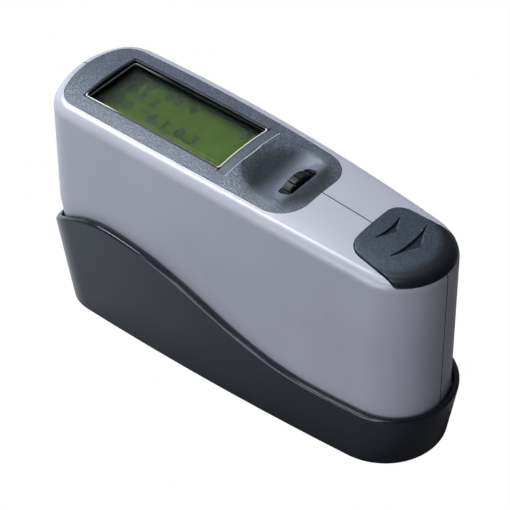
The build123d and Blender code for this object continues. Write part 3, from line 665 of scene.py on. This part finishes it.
# Painted highlight at the rear of the foot bead.
at_rear = 1.0 - foot_finish.parts()[0].smooth(*FOOT_REAR_X)
foot_finish.set(
    Base_Color=foot_finish.blend(at_rear, FOOT_DARK, FOOT_PAINTED_GLINT),
    Roughness=foot_finish.noise(300.0) * 0.05 + 0.2,
)
foot_line = [Vector((point.x, point.y, window_high.z)) for point in opening_line(FOOT_INSET)]
piece("window_foot", bead(foot_line, FOOT_RADIUS), [foot_finish], "meter")

lip_finish = Finish("window_lip")
along, across = lip_finish.parts()[:2]
at_front = along.smooth(opening_high.x - LIP_FRONT_START, opening_high.x - LIP_FRONT_END)
at_near = 1.0 - across.smooth(*LIP_NEAR_Y)
at_rear = 1.0 - along.smooth(*LIP_REAR_X)
# Painted highlight along the front and the near rear of the lip.
lip_painted_glint = at_front.math("MAXIMUM", at_near * (at_rear * 0.95 + 0.05))
lip_finish.set(
    Base_Color=lip_finish.blend(lip_painted_glint, LIP_DARK, LIP_PAINTED_GLINT),
    Roughness=lip_finish.noise(300.0) * 0.05 + (1.0 - lip_painted_glint) * 0.3 + 0.12,
)
lip_line = [
    Vector((point.x, point.y, TOP_CREST - fall(point.x, point.y) - LIP_DROP))
    for point in opening_line(LIP_INSET)
]
piece("window_lip", bead(lip_line, LIP_RADIUS), [lip_finish], "meter")

# Scroll wheel: moulded of black rubber, with ridges for the thumb.
# It turns on a steel axle in its carrier and is pressed down as a switch.
RUBBER_DARK = (0.005, 0.006, 0.008, 1.0)
RUBBER_GREY = (0.012, 0.014, 0.018, 1.0)
RUBBER_GRAIN = 0.03 * MM
wheel_finish = Finish("wheel_rubber")
rubber = wheel_finish.noise(1500.0, 2.0)
wheel_finish.set(
    Base_Color=wheel_finish.blend(rubber, RUBBER_DARK, RUBBER_GREY),
    Roughness=rubber * 0.1 + 0.46,
    Specular_IOR_Level=0.28,
    Normal=wheel_finish.bump(rubber, RUBBER_GRAIN, 0.5),
)
dress(wheel_finish, "scroll_wheel")

# Inner black plastic: the base plate, both halves of the optics block, the battery's sleeve,
# and the wheel's carrier, bracket and switch. All are plain mouldings with a matt grain.
INNER_BLACK = (0.01, 0.01, 0.011, 1.0)
INNER_GREY = (0.02, 0.02, 0.022, 1.0)
INNER_GRAIN = 0.04 * MM
inner_finish = Finish("inner_plastic")
matt = inner_finish.noise(1500.0, 2.0)
inner_finish.set(
    Base_Color=inner_finish.blend(matt, INNER_BLACK, INNER_GREY),
    Roughness=matt * 0.15 + 0.4,
    Normal=inner_finish.bump(matt, INNER_GRAIN, 0.5),
)
dress(
    inner_finish, "base_plate", "optics_left", "optics_right", "battery_sleeve",
    "wheel_carrier", "wheel_bracket", "wheel_switch",
)

# Metal parts: turned steel screws and the wheel's axle, contacts and a frame bent from bright sheet,
# and gilt cans for the light sources and detectors. All have a faint brushed grain.
METALS = {
    "screw_steel": ((0.45, 0.45, 0.47), 0.3, ("cover_screws", "base_screws", "board_screws", "wheel_axle")),
    "sheet_steel": ((0.6, 0.6, 0.6), 0.25, ("battery_contact", "cover_contact", "lcd_frame")),
    "lamp_metal": ((0.7, 0.5, 0.22), 0.22, ("light_sources", "light_detectors")),
}
BRUSHED_DARK = 0.8
BRUSH_STRETCH = (1.0, 1.0, 0.05)
for metal, (colour, gloss, metal_pieces) in METALS.items():
    metal_finish = Finish(metal)
    brush = metal_finish.noise(900.0, 2.0, BRUSH_STRETCH)
    dark = [BRUSHED_DARK * shade for shade in colour]
    metal_finish.set(
        Base_Color=metal_finish.blend(brush, (*dark, 1.0), (*colour, 1.0)),
        Metallic=1.0,
        Roughness=brush * 0.15 + gloss,
    )
    dress(metal_finish, *metal_pieces)

# Circuit boards: green lacquer over copper and woven glass, whose weave shows faintly.
# The main board is screwed to standoffs, the small one lies under the display.
BOARD_DARK = (0.01, 0.09, 0.035, 1.0)
BOARD_GREEN = (0.015, 0.13, 0.05, 1.0)
board_finish = Finish("board")
weave = board_finish.noise(700.0, 1.0)
board_finish.set(
    Base_Color=board_finish.blend(weave, BOARD_DARK, BOARD_GREEN),
    Roughness=weave * 0.1 + 0.3,
)
dress(board_finish, "main_board", "display_board")

# Lenses: thin discs of polished glass, seated in the bores of the optics block.
# Each beam has one in front of its lamp and one in front of its detector.
LENS_CLEAR = (0.95, 0.97, 1.0, 1.0)
lens_finish = Finish("lens_glass")
lens_finish.set(
    Base_Color=LENS_CLEAR,
    Roughness=lens_finish.noise(60.0) * 0.02 + 0.01,
    Transmission_Weight=1.0,
    IOR=1.52,
)
dress(lens_finish, "source_lenses", "receiver_lenses")

# Backlight: a milky block of moulded plastic under the panel, held in the same sheet frame.
# It spreads an even light behind the glass.
GUIDE_MILKY = (0.62, 0.68, 0.5, 1.0)
GUIDE_PALE = (0.7, 0.76, 0.58, 1.0)
guide_finish = Finish("backlight_plastic")
guide_finish.set(
    Base_Color=guide_finish.blend(guide_finish.noise(80.0), GUIDE_MILKY, GUIDE_PALE),
    Roughness=0.35,
)
dress(guide_finish, "backlight")

# Battery: a steel can in a plain dark film, with nothing printed on it.
# It stands in the nose between its contact and the one in the cover.
FILM_DARK = (0.03, 0.03, 0.035, 1.0)
FILM_GREY = (0.05, 0.05, 0.055, 1.0)
cell_finish = Finish("cell")
cell_finish.set(
    Base_Color=cell_finish.blend(cell_finish.noise(90.0), FILM_DARK, FILM_GREY),
    Roughness=0.25,
)
dress(cell_finish, "battery")

# Floor: a wide pale sheet that looks white to the camera.
# In reflections it is bright behind the meter and dim in front of it.
FLOOR_HALF = 6.0
FLOOR_PALE = (0.4, 0.4, 0.41, 1.0)
FLOOR_DIM = (0.16, 0.16, 0.165, 1.0)
FLOOR_COOL = (0.8, 0.9, 1.0, 1.0)
WHITE = (1.0, 1.0, 1.0, 1.0)
FRONT_X = (-0.2, 0.06)
MIRRORED_SHARE = 0.6
floor_finish = Finish("floor")
front = floor_finish.parts()[0].smooth(*FRONT_X)
seen = floor_finish.ray("Is Camera Ray")
glow = floor_finish.node("ShaderNodeEmission", {}, {
    "Color": floor_finish.blend(seen, FLOOR_COOL, WHITE), "Strength": 1.0
})
floor_finish.set(Base_Color=floor_finish.blend(front, FLOOR_PALE, FLOOR_DIM), Roughness=0.9)
surface = floor_finish.node("ShaderNodeMixShader", {}, {
    0: seen + floor_finish.ray("Is Glossy Ray") * (1.0 - front) * MIRRORED_SHARE,
    1: Value(floor_finish, floor_finish.shader.outputs[0]),
    2: glow,
})
floor_finish.feed(floor_finish.nodes["Material Output"].inputs["Surface"], surface)
sheet = bmesh.new()
bmesh.ops.create_grid(sheet, x_segments=1, y_segments=1, size=FLOOR_HALF)
floor_mesh = bpy.data.meshes.new("floor")
sheet.to_mesh(floor_mesh)
sheet.free()
floor_mesh.materials.append(floor_finish.material)
floor = bpy.data.objects.new("floor", floor_mesh)
bpy.context.scene.collection.objects.link(floor)

# Surround: white where the camera sees it, and otherwise a dim room.
# It is paler behind the meter than in front of it.
ROOM_DIM = 0.065
ROOM_PALER = 0.16
ROOM_X = (-0.9, 0.8)
world = bpy.data.worlds.new("surround")
bpy.context.scene.world = world
surround = Finish("surround", world)
seen = surround.ray("Is Camera Ray")
room = (1.0 - surround.parts("Generated")[0].smooth(*ROOM_X)) * ROOM_PALER + ROOM_DIM
surround.set(Color=WHITE, Strength=seen + (1.0 - seen) * room)

# Lamps: soft square and oblong panels aimed at the meter, one at the near side, one above, one behind
# and a small one over the near front corner.
LAMP_AIM = Vector((0.0, 0.0, 0.05))
LAMPS = (
    ("side", Vector((0.0, -1.3, 0.42)), 0.9, 0.9, 9.6),
    ("top", Vector((-0.66, 0.05, 1.22)), 0.45, 0.8, 21.0),
    ("rear", Vector((-1.3, 0.2, 0.4)), 0.6, 0.6, 2.0),
    ("corner", Vector((0.13, -0.52, 1.15)), 0.2, 0.2, 1.8),
)
for name, place, width, length, power in LAMPS:
    panel = bpy.data.lights.new(name, "AREA")
    panel.shape = "RECTANGLE"
    panel.size = width
    panel.size_y = length
    panel.energy = power
    lamp = bpy.data.objects.new(name, panel)
    turn = (LAMP_AIM - place).to_track_quat("-Z", "Y").to_matrix().to_4x4()
    lamp.matrix_world = Matrix.Translation(place) @ turn
    bpy.context.scene.collection.objects.link(lamp)
